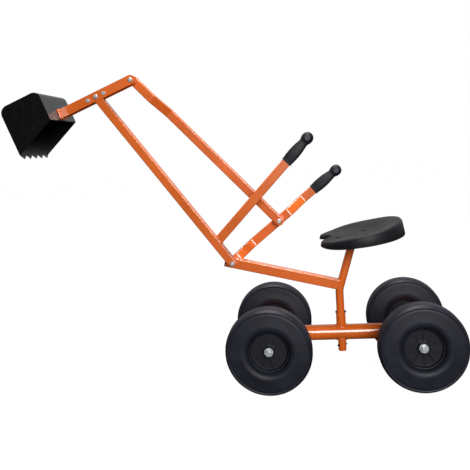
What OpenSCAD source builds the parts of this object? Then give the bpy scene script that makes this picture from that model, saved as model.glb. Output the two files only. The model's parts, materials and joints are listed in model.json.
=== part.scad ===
// Ride-on sand digger: four-wheeled chassis, swivelling seat post and arm,
// and a hand-worked boom, dipper stick and bucket.
// Millimetres. X runs from the bucket (-) to the rear wheels (+), Y across, Z up.
// The origin is on the ground under the swivel axis.

/* [Wheels] */
// Outside diameter of a wheel
wheel_d = 225; // [180:1:280]
// Width of a wheel across the tyre
wheel_w = 60; // [40:1:80]
// Distance between the left and right wheel centres
track = 300; // [240:1:400]
// Distance between the front and rear axles
wheelbase = 388; // [320:1:460]
// Diameter of the hub's outer rim
hub_d = 104; // [80:1:130]
// Number of ribs on each side of a hub
hub_ribs = 10; // [5:1:16]
// Diameter of the axle rods
axle_d = 12; // [10:0.5:16]

/* [Chassis] */
// Diameter of the chassis beam and the cross tubes
beam_d = 42; // [34:1:50]
// Wall thickness of the round tubes
round_wall = 1.6; // [1.2:0.1:3]
// Outside diameter of the swivel sleeve
sleeve_d = 26; // [24:0.5:34]
// Height of the top edge of the swivel sleeve above the ground
sleeve_top = 165; // [150:1:190]

/* [Seat post and arm] */
// Outside diameter of the seat post
post_d = 22; // [18:0.5:24]
// Height of the lower end of the seat post above the ground
post_foot = 61; // [30:1:75]
// Height above the ground where the seat post bends
post_bend = 232; // [220:1:280]
// Rearward lean of the upper part of the seat post
post_lean = 18; // [0:1:30]
// Outside width of the square arm
arm_size = 28; // [25:0.5:35]
// Upward slope of the arm
arm_slope = 13.9; // [5:0.1:25]
// Rearward tilt of the seat
seat_tilt = 7; // [0:1:15]

/* [Boom and levers] */
// Distance of the main pivot ahead of the swivel axis
pivot_reach = 289.4; // [240:0.2:340]
// Height of the main pivot above the ground
pivot_z = 321.5; // [280:0.5:360]
// Outside width of the square lever and rod tubes
tube = 25; // [20:0.5:30]
// Outside width of the square boom tube
boom_size = 24; // [20:0.5:26]
// Wall thickness of the square tubes
tube_wall = 1.5; // [1:0.1:2.5]
// Length of the boom between its pivots
boom_len = 599; // [500:1:700]
// Angle of the boom above the rearward horizontal
boom_angle = 126.25; // [110:0.25:140]
// Angle of the left lever above the rearward horizontal
left_angle = 46; // [40:0.5:60]
// Distance along the boom from the main pivot to the left lever
left_root = 72; // [60:1:120]
// Length of the left lever from the boom's centre line to its grip
left_len = 296; // [250:1:340]
// Angle of the right lever above the rearward horizontal
right_angle = 38; // [30:0.5:50]
// Length of the right lever from the main pivot to its grip
right_len = 296; // [270:1:340]
// Distance from the main pivot to the rod's pivot on the right lever
rod_root = 167.2; // [130:0.2:190]
// Sideways step of each offset in the right lever and the rod
jog = 45; // [30:1:60]

/* [Dipper stick and bucket] */
// Angle of the dipper stick above the rearward horizontal
stick_angle = 21.6; // [10:0.1:35]
// Length of the dipper stick behind its pivot
stick_tail = 108.3; // [80:0.1:130]
// Length of the dipper stick ahead of its pivot
stick_nose = 117; // [100:1:140]
// Height of the dipper stick channel
stick_h = 26; // [24:0.5:32]
// Outside width of the bucket
bucket_w = 190; // [150:1:240]
// Depth of the bucket from its back sheet to its front sheet
bucket_depth = 120; // [90:1:150]
// Thickness of the bucket and stick sheet
sheet = 1.5; // [1:0.1:2.5]
// Number of bucket teeth
teeth = 5; // [3:1:8]

/* [Hidden] */
$fn = 48;
// Radial running clearance of every bolt, rod and sleeve that turns
run_gap = 0.06;
// Side gap filled by the thin pivot washers
washer_t = 1.5;
// Small overlap for cutting tools
cut = 1;
// A length longer than the whole machine, for half-space cutters
far = 2000;

axle_z = wheel_d / 2;
axle_x = wheelbase / 2;
wheel_y = track / 2;
hub_half = 14;
// Room for the washer on each side of a hub
axle_washer_room = 2;
bush_flange = 2;
// End of each cross tube, a flange and a washer short of the hub
cross_half = wheel_y - hub_half - axle_washer_room - bush_flange;

// Distances along Y of the mechanism's layers
boom_y = -(arm_size / 2 + washer_t + tube / 2);
root_y = arm_size / 2 + washer_t + tube / 2;
mid_y = root_y + jog;
hand_y = mid_y + jog;
rod_low_y = mid_y - tube - washer_t;
rod_high_y = rod_low_y - jog;
// Half the width of the stick channel; the boom's end turns inside it
stick_half = tube / 2 + 2.5;

// Pivot positions in the XZ plane
pivot_x = -pivot_reach;
elbow_x = pivot_x + boom_len * cos(boom_angle);
elbow_z = pivot_z + boom_len * sin(boom_angle);
tail_x = elbow_x + stick_tail * cos(stick_angle);
tail_z = elbow_z + stick_tail * sin(stick_angle);
rod_x = pivot_x + rod_root * cos(right_angle);
rod_z = pivot_z + rod_root * sin(right_angle);
rod_len = sqrt(pow(tail_x - rod_x, 2) + pow(tail_z - rod_z, 2));
rod_angle = atan2(tail_z - rod_z, tail_x - rod_x);

// Pivot bolts
bolt_r = 4;
head_r = 6.6;
head_t = 5;
nut_af = 13;
nut_t = 6.5;
// Extra radius of the rod's upper hole, the pivot left open in the joint tree
open_gap = 3.7;
edge_r = 3;
// The arm's centre line passes this far below the main pivot
arm_drop = 3.5;

// Offsets of the right lever and of the rod, measured from each end's pivot
jog_a = [14, 62];
jog_b = [200, 250];
rod_jog = [68, 125];

// Seat shape in the seat's own frame
seat_x = 50;
seat_z = 375;
seat_skin = 4;

// ---------------------------------------------------------------- helpers

// Puts children at a point of the XZ plane, their X axis raised by an angle.
module place(x, z, angle, y = 0) {
  translate([x, y, z])
    rotate([0, -angle, 0])
      children();
}

// A cylinder along Y, from y0 to y1.
module rod_y(r, y0, y1) {
  translate([0, y0, 0])
    rotate([-90, 0, 0])
      cylinder(r = r, h = y1 - y0);
}

module rounded_square(s, r) {
  square([s, s - 2 * r], center = true);
  square([s - 2 * r, s], center = true);
  for (i = [-1, 1], j = [-1, 1])
    translate([i * (s / 2 - r), j * (s / 2 - r)])
      circle(r = r);
}

// A square bar with rounded edges along X, from x0 to x1.
module bar(s, r, x0, x1) {
  translate([x0, 0, 0])
    rotate([90, 0, 90])
      linear_extrude(height = x1 - x0)
        rounded_square(s, r);
}

// A square tube along X, from x0 to x1.
module square_tube(s, x0, x1) {
  difference() {
    bar(s, edge_r, x0, x1);
    bar(s - 2 * tube_wall, edge_r - tube_wall, x0 - cut, x1 + cut);
  }
}

// Keeps what lies beyond x, or inside a round end about the point x.
module round_end_from(x, s) {
  translate([x, -far / 2, -far / 2])
    cube([far, far, far]);
  translate([x, 0, 0])
    rod_y(s / 2, -far / 2, far / 2);
}

// Points round a square section with rounded corners.
corner_steps = 4;
function section_loop(s, r) = [
  for (k = [0 : 3], i = [0 : corner_steps])
    let (
      a = 90 * k + 90 * i / corner_steps,
      cx = (k == 0 || k == 3 ? 1 : -1) * (s / 2 - r),
      cz = (k < 2 ? 1 : -1) * (s / 2 - r)
    )
    [cx + r * cos(a), cz + r * sin(a)]
];

function heading(p, i) = atan2(p[i + 1][1] - p[i][1], p[i + 1][0] - p[i][0]);
function turn_in(p, i) = heading(p, max(i - 1, 0));
function turn_out(p, i) = heading(p, min(i, len(p) - 2));

// The section's points at one corner of the path, spread over the mitre.
function station(p, i, section) =
  let (
    mid = (turn_in(p, i) + turn_out(p, i)) / 2,
    wide = 1 / cos((turn_out(p, i) - turn_in(p, i)) / 2)
  )
  [for (q = section) [p[i][0] - q[0] * wide * sin(mid), p[i][1] + q[0] * wide * cos(mid), q[1]]];

// A mitred square tube that follows points in the XY plane.
module stepped_tube(p) {
  outer = section_loop(tube, edge_r);
  inner = section_loop(tube - 2 * tube_wall, edge_r - tube_wall);
  n = len(outer);
  stations = len(p);
  core = n * stations;
  last = n * (stations - 1);
  points = concat(
    [for (i = [0 : stations - 1], q = station(p, i, outer)) q],
    [for (i = [0 : stations - 1], q = station(p, i, inner)) q]
  );
  walls = [
    for (i = [0 : stations - 2], k = [0 : n - 1], skin = [0, 1])
      let (
        a = core * skin + i * n + k,
        b = core * skin + i * n + (k + 1) % n
      )
      skin == 0 ? [a, a + n, b + n, b] : [a, b, b + n, a + n]
  ];
  ends = [
    for (k = [0 : n - 1], end = [0, 1])
      let (
        a = end * last + k,
        b = end * last + (k + 1) % n
      )
      end == 0 ? [a, b, core + b, core + a] : [b, a, core + a, core + b]
  ];
  polyhedron(points = points, faces = concat(walls, ends));
}

// Domed bolt head and shank pointing along +Y; the head's seat is at y = 0.
module bolt_y(shank) {
  rod_y(bolt_r, 0, shank);
  rod_y(head_r, -head_t * 0.6, 0);
  translate([0, -head_t, 0])
    rotate([-90, 0, 0])
      cylinder(r1 = head_r * 0.62, r2 = head_r, h = head_t * 0.4);
}

// Hexagon nut from y0, bored to sit on its bolt.
module nut_y(y0) {
  difference() {
    translate([0, y0, 0])
      rotate([-90, 0, 0])
        cylinder(d = nut_af / cos(30), h = nut_t, $fn = 6);
    rod_y(bolt_r, y0 - cut, y0 + nut_t + cut);
  }
}

module washer_y(y0, y1, r_out = 9) {
  difference() {
    rod_y(r_out, y0, y1);
    rod_y(bolt_r, y0 - cut, y1 + cut);
  }
}

// ---------------------------------------------------------------- chassis

orange = [0.86, 0.36, 0.12];
black = [0.10, 0.10, 0.11];
steel = [0.72, 0.73, 0.74];

module chassis_beam() {
  color(orange)
    difference() {
      translate([-axle_x, 0, axle_z])
        rotate([0, 90, 0])
          cylinder(d = beam_d, h = wheelbase);
      translate([-axle_x - cut, 0, axle_z])
        rotate([0, 90, 0])
          cylinder(d = beam_d - 2 * round_wall, h = wheelbase + 2 * cut);
      for (side = [-1, 1])
        translate([side * axle_x, 0, axle_z])
          rod_y(beam_d / 2, -beam_d, beam_d);
      translate([0, 0, axle_z - beam_d])
        cylinder(d = sleeve_d, h = 2 * beam_d);
    }
}

module swivel_sleeve() {
  foot = axle_z - beam_d / 2 - 1.5;
  color(orange)
    difference() {
      translate([0, 0, foot])
        cylinder(d = sleeve_d, h = sleeve_top - foot);
      translate([0, 0, foot - cut])
        cylinder(r = post_d / 2 + run_gap, h = sleeve_top - foot + 2 * cut);
    }
}

module cross_tube(x) {
  color(orange)
    translate([x, 0, axle_z])
      difference() {
        rod_y(beam_d / 2, -cross_half, cross_half);
        rod_y(beam_d / 2 - round_wall, -cross_half - cut, cross_half + cut);
      }
}

module front_cross_tube() {
  cross_tube(-axle_x);
}

module rear_cross_tube() {
  cross_tube(axle_x);
}

// Flanged plastic bushings that carry the axle rods in the cross tubes.
module axle_bushings() {
  plug = 18;
  color(black)
    for (sx = [-1, 1], sy = [-1, 1])
      translate([sx * axle_x, sy * cross_half, axle_z])
        rotate([0, 0, sy > 0 ? 0 : 180])
          difference() {
            union() {
              rod_y(beam_d / 2 - round_wall, -plug, 0);
              rod_y(beam_d / 2, 0, bush_flange);
            }
            rod_y(axle_d / 2, -plug - cut, bush_flange + cut);
          }
}

axle_nut_t = 8;
axle_nut_af = 16;
// The rod ends stand a little proud of their nuts
axle_half = wheel_y + hub_half + axle_washer_room + axle_nut_t + 3;

module axle_rod(x) {
  color(steel)
    translate([x, 0, axle_z])
      rod_y(axle_d / 2, -axle_half, axle_half);
}

module front_axle_rod() {
  axle_rod(-axle_x);
}

module rear_axle_rod() {
  axle_rod(axle_x);
}

// One washer outside and one inside every hub.
module axle_washers() {
  color(steel)
    for (sx = [-1, 1], sy = [-1, 1], end = [-1, 1])
      translate([sx * axle_x, sy * wheel_y + end * (hub_half + 1.05), axle_z])
        difference() {
          rod_y(11.5, -0.9, 0.9);
          rod_y(axle_d / 2, -cut - 0.9, cut + 0.9);
        }
}

module axle_nuts() {
  color(steel)
    for (sx = [-1, 1], sy = [-1, 1])
      translate([sx * axle_x, sy * (axle_half - 2.5 - axle_nut_t / 2), axle_z])
        difference() {
          rotate([90, 0, 0])
            cylinder(d = axle_nut_af / cos(30), h = axle_nut_t, center = true, $fn = 6);
          rod_y(axle_d / 2, -axle_nut_t, axle_nut_t);
        }
}

// ---------------------------------------------------------------- wheels

// Half section of the hollow tyre: x is the radius, y the half width.
module tyre_half_section() {
  r = wheel_d / 2;
  h = wheel_w / 2;
  polygon([
    [hub_d / 2, 0],
    [hub_d / 2, h - 18],
    [hub_d / 2 + 1.4, h - 10],
    [hub_d / 2 + 6, h - 3.4],
    [hub_d / 2 + 13, h - 0.4],
    [hub_d / 2 + 16, h],
    [r - 28.5, h - 1.7],
    [r - 12.5, h - 3.1],
    [r - 10.3, h - 4],
    [r - 8.1, h - 2.7],
    [r - 5.4, h - 4.8],
    [r - 2.7, h - 8],
    [r - 0.7, h - 13.4],
    [r, h - 18.6],
    [r, 0]
  ]);
}

module tyre_section() {
  difference() {
    union() {
      tyre_half_section();
      mirror([0, 1])
        tyre_half_section();
    }
    // Air space of the blow-moulded tyre
    translate([hub_d / 2 + 9, 5.5 - wheel_w / 2])
      square([wheel_d / 2 - hub_d / 2 - 18, wheel_w - 11]);
    translate([hub_d / 2 + 3, -9])
      square([7, 18]);
    // Shallow grooves round the tread
    for (i = [-1, 0, 1])
      translate([wheel_d / 2 - 0.8, i * 9 - 1])
        square([2, 2]);
  }
}

module tyre(sx, sy) {
  color(black)
    translate([sx * axle_x, sy * wheel_y, axle_z])
      rotate([90, 0, 0])
        rotate_extrude()
          tyre_section();
}

module hub(sx, sy, turn) {
  rim_in = hub_d / 2 - 4;
  boss_r = 15;
  rim_half = 15.6;
  web_half = 7;
  rib_half = 10.3;
  rib_t = 2.5;
  color(black)
    translate([sx * axle_x, sy * wheel_y, axle_z])
      rotate([0, turn, 0])
        difference() {
          union() {
            difference() {
              rod_y(hub_d / 2, -rim_half, rim_half);
              rod_y(rim_in, -rim_half - cut, rim_half + cut);
            }
            rod_y(rim_in + cut, -web_half, web_half);
            rod_y(boss_r, -hub_half, hub_half);
            for (i = [0 : hub_ribs - 1])
              rotate([0, i * 360 / hub_ribs, 0])
                translate([boss_r - 2, -rib_half, -rib_t / 2])
                  cube([rim_in - boss_r + 3, 2 * rib_half, rib_t]);
          }
          rod_y(axle_d / 2 + run_gap, -hub_half - cut, hub_half + cut);
        }
}

// Clocking of the ribs, left as the wheels came to rest
module tyre_front_left() { tyre(-1, -1); }
module hub_front_left() { hub(-1, -1, -8); }
module tyre_front_right() { tyre(-1, 1); }
module hub_front_right() { hub(-1, 1, 0); }
module tyre_rear_left() { tyre(1, -1); }
module hub_rear_left() { hub(1, -1, 18); }
module tyre_rear_right() { tyre(1, 1); }
module hub_rear_right() { hub(1, 1, 5); }

// ---------------------------------------------------------------- seat post and arm

bend_r = 60;
upper_len = 150;
// Thickness of the plate under the seat
plate_t = 3;

// The post's centre line: straight, bent back by post_lean, then straight.
// The bend is a hair thinner and reaches one degree into both straight parts.
module post_shape(r) {
  reach = bend_r * tan(post_lean / 2);
  translate([0, 0, post_foot])
    cylinder(r = r, h = post_bend - reach - post_foot);
  translate([bend_r, 0, post_bend - reach])
    rotate([90, 0, 0])
      rotate([0, 0, 179 - post_lean])
        rotate_extrude(angle = post_lean + 2)
          translate([bend_r, 0])
            circle(r = r - 0.04);
  translate([0, 0, post_bend])
    rotate([0, post_lean, 0])
      translate([0, 0, reach])
        cylinder(r = r, h = upper_len);
}

// Cross bolts just above and below the sleeve hold the post in it.
swivel_bolt_z = [sleeve_top + 4, axle_z - beam_d / 2 - 15.5];
// The lower bolt is turned about the post, its head to the front left
swivel_bolt_turn = [0, 35];
swivel_bolt_r = 2.5;
swivel_head_r = 3.4;
swivel_head_t = 3.2;
swivel_nut_t = 3;

// Puts children at each swivel bolt, their Z axis along the bolt.
module at_swivel_bolts() {
  for (i = [0, 1])
    translate([0, 0, swivel_bolt_z[i]])
      rotate([0, 90, swivel_bolt_turn[i]])
        children();
}

module swivel_bolt_holes() {
  at_swivel_bolts()
    cylinder(r = swivel_bolt_r, h = 2 * post_d, center = true);
}

module seat_post() {
  color(orange)
    difference() {
      post_shape(post_d / 2);
      post_shape(post_d / 2 - round_wall);
      // Open at the foot, and trimmed to the plate under the seat
      translate([0, 0, post_foot - cut])
        cylinder(r = post_d / 2 - round_wall, h = 20);
      place(seat_x, seat_z, seat_tilt)
        translate([-100, -100, -plate_t])
          cube(200);
      swivel_bolt_holes();
    }
}

module arm_tube() {
  color(orange)
    difference() {
      place(pivot_x, pivot_z, -arm_slope)
        translate([0, 0, -arm_drop])
          square_arm();
      post_shape(post_d / 2);
      place(pivot_x, pivot_z, 0)
        rod_y(bolt_r, -far / 2, far / 2);
    }
}

arm_nose = 21;
arm_wall = 1.8;

module square_arm() {
  run = pivot_reach / cos(arm_slope);
  difference() {
    bar(arm_size, edge_r, -arm_nose, run);
    bar(arm_size - 2 * arm_wall, edge_r - arm_wall, -arm_nose - cut, run + cut);
  }
}

module arm_end_plug() {
  color(black)
    place(pivot_x, pivot_z, -arm_slope)
      translate([0, 0, -arm_drop]) {
        bar(arm_size, edge_r, -arm_nose - 3, -arm_nose);
        bar(arm_size - 2 * arm_wall, edge_r - arm_wall, -arm_nose, -arm_nose + 9);
      }
}

module swivel_bolts() {
  color(steel)
    at_swivel_bolts() {
      translate([0, 0, -post_d / 2])
        cylinder(r = swivel_bolt_r, h = post_d + swivel_nut_t + 1.5);
      translate([0, 0, -post_d / 2 - swivel_head_t])
        cylinder(r = swivel_head_r, h = swivel_head_t);
    }
}

module swivel_nuts() {
  color(steel)
    at_swivel_bolts()
      translate([0, 0, post_d / 2])
        difference() {
          cylinder(d = 2 * swivel_head_r, h = swivel_nut_t, $fn = 6);
          translate([0, 0, -cut])
            cylinder(r = swivel_bolt_r, h = swivel_nut_t + 2 * cut);
        }
}

// ---------------------------------------------------------------- seat

seat_bolt_pitch = 76;
seat_bolt_r = 3;
// Height of the pocket floor that each bolt's head sits on, front and rear
pocket_z = [8, 3];
drain_x = [-21.5, 3];
drain_r = 3.2;
seat_head_r = 6;
seat_head_t = 3;
seat_nut_t = 5;
plate_front = -62;
plate_len = 104;
plate_w = 100;

module at_seat() {
  place(seat_x, seat_z, seat_tilt)
    children();
}

// Bolt positions: row 0 is the front pair and row 1 the rear pair.
module seat_bolt_row(row) {
  for (j = [-1, 1])
    translate([(row - 0.5) * seat_bolt_pitch - 9.5, j * seat_bolt_pitch / 2, 0])
      children();
}

module seat_plate() {
  color(orange)
    at_seat()
      difference() {
        translate([plate_front, -plate_w / 2, -plate_t])
          cube([plate_len, plate_w, plate_t]);
        for (row = [0, 1])
          seat_bolt_row(row)
            translate([0, 0, -plate_t - cut])
              cylinder(r = seat_bolt_r, h = plate_t + 2 * cut);
      }
}

// The tables give a value at each heading from the rear, round to the front.
function at_heading(a, table) = lookup(a > 180 ? 360 - a : a, table);

// Radius of the seat's outline
outline_table = [
  [0, 115], [20, 119], [40, 129], [60, 140], [80, 146], [95, 146],
  [110, 144], [125, 140], [138, 136], [148, 130], [155, 119], [161, 102],
  [168, 88], [180, 80]
];
// Height of the rim's crest, of the skirt's lower edge, and of the dished floor
rim_table = [[0, 34], [40, 31], [70, 25], [100, 20], [125, 14], [148, 13], [165, 15], [180, 15]];
skirt_table = [[0, -7], [110, -7], [130, -5], [150, 1], [165, 2], [180, 2]];
floor_table = [[0, 8], [60, 8], [100, 9.5], [140, 12], [180, 14]];
floor_mid = 8;

function outline(a) = at_heading(a, outline_table);
function rim_z(a) = at_heading(a, rim_table);
function skirt_z(a) = at_heading(a, skirt_table);
function ease(s) = s * s * (3 - 2 * s);
function seat_top(a, s) =
  floor_mid
  + (at_heading(a, floor_table) - floor_mid) * ease(min(1, s / 0.5))
  + (rim_z(a) - at_heading(a, floor_table)) * ease(max(0, (s - 0.3) / 0.7));

seat_steps = 60;
// Rings of the upper skin: share of the outline radius
top_rings = [0.12, 0.25, 0.4, 0.55, 0.7, 0.82, 0.92, 0.97, 1.0];

// Profile of one heading, from the centre of the top round to the centre below.
function seat_profile(a) = concat(
  [for (s = top_rings) [s * (outline(a) - 4), seat_top(a, s)]],
  [
    [outline(a) - 1, rim_z(a) - 3],
    [outline(a) + 1, rim_z(a) - 8],
    [outline(a) + 3, skirt_z(a)],
    [outline(a), skirt_z(a)],
    [outline(a) - 3, rim_z(a) - 10]
  ],
  [for (i = [len(top_rings) - 2 : -1 : 0])
    [top_rings[i] * (outline(a) - 5), seat_top(a, top_rings[i]) - seat_skin]]
);

module seat_shell() {
  step = 360 / seat_steps;
  count = len(seat_profile(0));
  ring = [
    for (j = [0 : seat_steps - 1], q = seat_profile(j * step))
      [q[0] * cos(j * step), q[0] * sin(j * step), q[1]]
  ];
  top_centre = len(ring);
  low_centre = top_centre + 1;
  points = concat(ring, [[0, 0, floor_mid], [0, 0, floor_mid - seat_skin]]);
  side_faces = [
    for (j = [0 : seat_steps - 1], i = [0 : count - 2], half = [0, 1])
      let (
        here = j * count + i,
        next = ((j + 1) % seat_steps) * count + i
      )
      half == 0 ? [here, next + 1, here + 1] : [here, next, next + 1]
  ];
  cap_faces = [
    for (j = [0 : seat_steps - 1], half = [0, 1])
      let (
        here = j * count,
        next = ((j + 1) % seat_steps) * count
      )
      half == 0 ? [top_centre, next, here] : [low_centre, here + count - 1, next + count - 1]
  ];
  polyhedron(points = points, faces = concat(side_faces, cap_faces));
}

// The shell on four pads that rest on the plate, with a pocket for each bolt
// head and four small drain holes.
module seat() {
  color(black)
    at_seat()
      difference() {
        union() {
          translate([16, 0, 0])
            seat_shell();
          for (row = [0, 1])
            seat_bolt_row(row)
              cylinder(r = 10, h = pocket_z[row] + 2);
        }
        for (row = [0, 1])
          seat_bolt_row(row) {
            translate([0, 0, -cut])
              cylinder(r = seat_bolt_r, h = 40);
            translate([0, 0, pocket_z[row]])
              cylinder(r = 7.5, h = 40);
          }
        for (x = drain_x, j = [-1, 1])
          translate([x, j * seat_bolt_pitch / 2, -cut])
            cylinder(r = drain_r, h = 40);
      }
}

module seat_bolts() {
  color(steel)
    at_seat()
      for (row = [0, 1])
        seat_bolt_row(row) {
          translate([0, 0, -10])
            cylinder(r = seat_bolt_r, h = pocket_z[row] + 10);
          translate([0, 0, pocket_z[row]])
            cylinder(r = seat_head_r, h = seat_head_t);
        }
}

module seat_nuts() {
  color(steel)
    at_seat()
      for (row = [0, 1])
        seat_bolt_row(row)
          translate([0, 0, -plate_t - seat_nut_t])
            difference() {
              cylinder(d = 10 / cos(30), h = seat_nut_t, $fn = 6);
              translate([0, 0, -cut])
                cylinder(r = seat_bolt_r, h = seat_nut_t + 2 * cut);
            }
}

// ---------------------------------------------------------------- main pivot

main_y0 = boom_y - boom_size / 2;
main_y1 = root_y + tube / 2;

module main_pivot_bolt() {
  color(steel)
    place(pivot_x, pivot_z, 0, main_y0 - washer_t)
      bolt_y(main_y1 - main_y0 + 2 * washer_t + nut_t + 2);
}

module main_pivot_nut() {
  color(steel)
    place(pivot_x, pivot_z, 0)
      nut_y(main_y1 + washer_t);
}

// Thin washers beside the boom, the arm and the right lever.
module main_pivot_washers() {
  color(steel)
    place(pivot_x, pivot_z, 0) {
      washer_y(main_y0 - washer_t, main_y0 - 0.05, 6.2);
      washer_y(boom_y + boom_size / 2 + 0.05, -arm_size / 2, 8.5);
      washer_y(arm_size / 2, root_y - tube / 2 - 0.05, 8.5);
      washer_y(main_y1 + 0.05, main_y1 + washer_t, 8.5);
    }
}

// ---------------------------------------------------------------- boom and left lever

module boom_tube() {
  color(orange)
    place(pivot_x, pivot_z, boom_angle, boom_y)
      difference() {
        intersection() {
          square_boom(-boom_size, boom_len + boom_size);
          round_end_from(0, boom_size);
          translate([boom_len, 0, 0])
            mirror([1, 0, 0])
              round_end_from(0, boom_size);
        }
        rod_y(bolt_r + run_gap, -boom_size, boom_size);
        translate([boom_len, 0, 0])
          rod_y(bolt_r + run_gap, -boom_size, boom_size);
      }
}

module square_boom(x0, x1) {
  difference() {
    bar(boom_size, edge_r, x0, x1);
    bar(boom_size - 2 * tube_wall, edge_r - tube_wall, x0 - cut, x1 + cut);
  }
}

module at_left_lever() {
  place(
    pivot_x + left_root * cos(boom_angle),
    pivot_z + left_root * sin(boom_angle),
    left_angle,
    boom_y
  )
    children();
}

grip_depth = 40;

module left_lever() {
  color(orange)
    difference() {
      at_left_lever()
        square_tube(tube, 0, left_len + grip_depth);
      // Coped to the side of the boom
      place(pivot_x, pivot_z, boom_angle, boom_y)
        translate([-boom_len, -boom_size, -boom_size / 2])
          cube([2 * boom_len, 2 * boom_size, 3 * boom_size]);
    }
}

grip_ball_x = 87.5;
grip_ball_r = 16.5;

// Side view of the moulded grip, with its small base flange and waist.
module grip_outline() {
  polygon([
    [0, -15.5], [3, -15.5], [3.6, -14.6], [12, -15.6], [24, -16.4], [36, -16.3],
    [48, -15.6], [60, -14.4], [68, -13.4], [74, -13.2], [80, -13.2],
    [80, 13.2], [74, 13.2], [68, 13.4], [60, 14.4], [48, 15.6], [36, 16.3],
    [24, 16.4], [12, 15.6], [3.6, 14.6], [3, 15.5], [0, 15.5]
  ]);
}

// Hand grip along X, with a pocket for the end of the lever tube.
module grip() {
  difference() {
    union() {
      intersection() {
        translate([0, 20, 0])
          rotate([90, 0, 0])
            linear_extrude(height = 40)
              grip_outline();
        translate([0, 0, -20])
          linear_extrude(height = 40)
            grip_outline();
        bar(34, 8, -cut, 90);
      }
      translate([grip_ball_x, 0, 0])
        sphere(r = grip_ball_r);
      // Flat round marks on both sides of the ball
      translate([grip_ball_x, 0, 0])
        rod_y(7.5, -15.6, 15.6);
    }
    bar(tube, edge_r, -cut, grip_depth);
  }
}

module left_grip() {
  color(black)
    at_left_lever()
      translate([left_len, 0, 0])
        grip();
}

// ---------------------------------------------------------------- dipper stick

module at_stick() {
  place(elbow_x, elbow_z, stick_angle, boom_y)
    children();
}

// The web sits above the boom's round end, which turns in the channel.
web_top = boom_size / 2 + 0.5 + sheet;

stop_pitch = 25;
stop_r = 3;

// Folded channel, open below, with a rounded rear end.
module dipper_stick() {
  color(orange)
    at_stick()
      difference() {
        intersection() {
          translate([-stick_nose, -stick_half, web_top - stick_h])
            cube([stick_nose + stick_tail + stick_h, 2 * stick_half, stick_h]);
          union() {
            translate([-far, -far / 2, -far / 2])
              cube([far + stick_tail, far, far]);
            translate([stick_tail, 0, web_top - stick_h / 2])
              rod_y(stick_h / 2, -far / 2, far / 2);
          }
        }
        translate([-stick_nose - cut, sheet - stick_half, web_top - stick_h - cut])
          cube([far, 2 * (stick_half - sheet), stick_h - sheet + cut]);
        translate([stick_tail + stick_h / 4, sheet - stick_half, -stick_h])
          cube([far, 2 * (stick_half - sheet), 2 * stick_h]);
        rod_y(bolt_r, -far / 2, far / 2);
        translate([stick_tail, 0, 0])
          rod_y(bolt_r, -far / 2, far / 2);
        for (i = [-1, 1])
          translate([i * stop_pitch, 0, 0])
            rod_y(stop_r, -far / 2, far / 2);
      }
}

module stick_pivot_bolt() {
  color(steel)
    place(elbow_x, elbow_z, 0, boom_y - stick_half)
      bolt_y(2 * stick_half + nut_t + 2);
}

module stick_pivot_nut() {
  color(steel)
    place(elbow_x, elbow_z, 0, boom_y)
      nut_y(stick_half);
}

// Cross bolts that tie the channel's walls and stop the boom's end.
module stop_bolts() {
  color(steel)
    at_stick()
      for (i = [-1, 1])
        translate([i * stop_pitch, -stick_half, 0]) {
          rod_y(stop_r, 0, 2 * stick_half + 6);
          rod_y(5.6, -3.5, 0);
        }
}

module stop_nuts() {
  color(steel)
    at_stick()
      for (i = [-1, 1])
        translate([i * stop_pitch, stick_half, 0])
          difference() {
            rotate([-90, 0, 0])
              cylinder(d = 10 / cos(30), h = 5, $fn = 6);
            rod_y(stop_r, -cut, 5 + cut);
          }
}

// ---------------------------------------------------------------- bucket

// Bucket side in the stick's frame: the stick meets the back sheet at x = 0.
bucket_top = 69;
bucket_heel = -18;
lip_low = -69;
corner_a = 23;
corner_b = 20;
tooth_len = 11;

// Outline shrunk by d on the closed sides, and opened past the mouth by m.
module bucket_outline(d, m) {
  ra = corner_a - d;
  rb = corner_b - d;
  polygon([
    [-d, bucket_heel - m * 0.4],
    [-d, bucket_top - corner_b],
    [-corner_b, bucket_top - d],
    [-bucket_depth + corner_a, bucket_top - d],
    [-bucket_depth + d, bucket_top - corner_a],
    [-bucket_depth + d, lip_low - m * 0.4],
    [-d, lip_low - m * 0.4 + (bucket_heel - lip_low)]
  ]);
  translate([-corner_b, bucket_top - corner_b])
    circle(r = rb);
  translate([-bucket_depth + corner_a, bucket_top - corner_a])
    circle(r = ra);
}

module at_bucket() {
  at_stick()
    translate([-stick_nose, 0, 0])
      children();
}

module bucket_side(y0) {
  color(black)
    at_bucket()
      translate([0, y0 + sheet, 0])
        rotate([90, 0, 0])
          linear_extrude(height = sheet)
            bucket_outline(0, 0);
}

module bucket_side_left() {
  bucket_side(-bucket_w / 2);
}

module bucket_side_right() {
  bucket_side(bucket_w / 2 - sheet);
}

// One sheet folded round the back, top and front, with teeth cut in its lip.
module bucket_wrap() {
  half = bucket_w / 2 - sheet;
  pitch = 2 * half / teeth;
  color(black)
    at_bucket() {
      translate([0, half, 0])
        rotate([90, 0, 0])
          linear_extrude(height = 2 * half)
            difference() {
              bucket_outline(0, 0);
              bucket_outline(sheet, 60);
            }
      for (i = [0 : teeth - 1])
        translate([sheet - bucket_depth, pitch * (i + 0.5) - half, lip_low])
          rotate([0, -90, 0])
            linear_extrude(height = sheet)
              polygon([[0.2, -pitch / 2], [0.2, pitch / 2], [0, pitch / 2],
                [-tooth_len, 0], [0, -pitch / 2]]);
    }
}

// ---------------------------------------------------------------- push rod and right lever

rod_out_y = boom_y - stick_half;
rod_far_y = rod_high_y + tube / 2;

module rod_upper_bolt() {
  color(steel)
    place(tail_x, tail_z, 0, rod_out_y)
      bolt_y(rod_far_y + washer_t - rod_out_y + nut_t + 2);
}

module rod_upper_nut() {
  color(steel)
    place(tail_x, tail_z, 0)
      nut_y(rod_far_y + washer_t);
}

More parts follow.
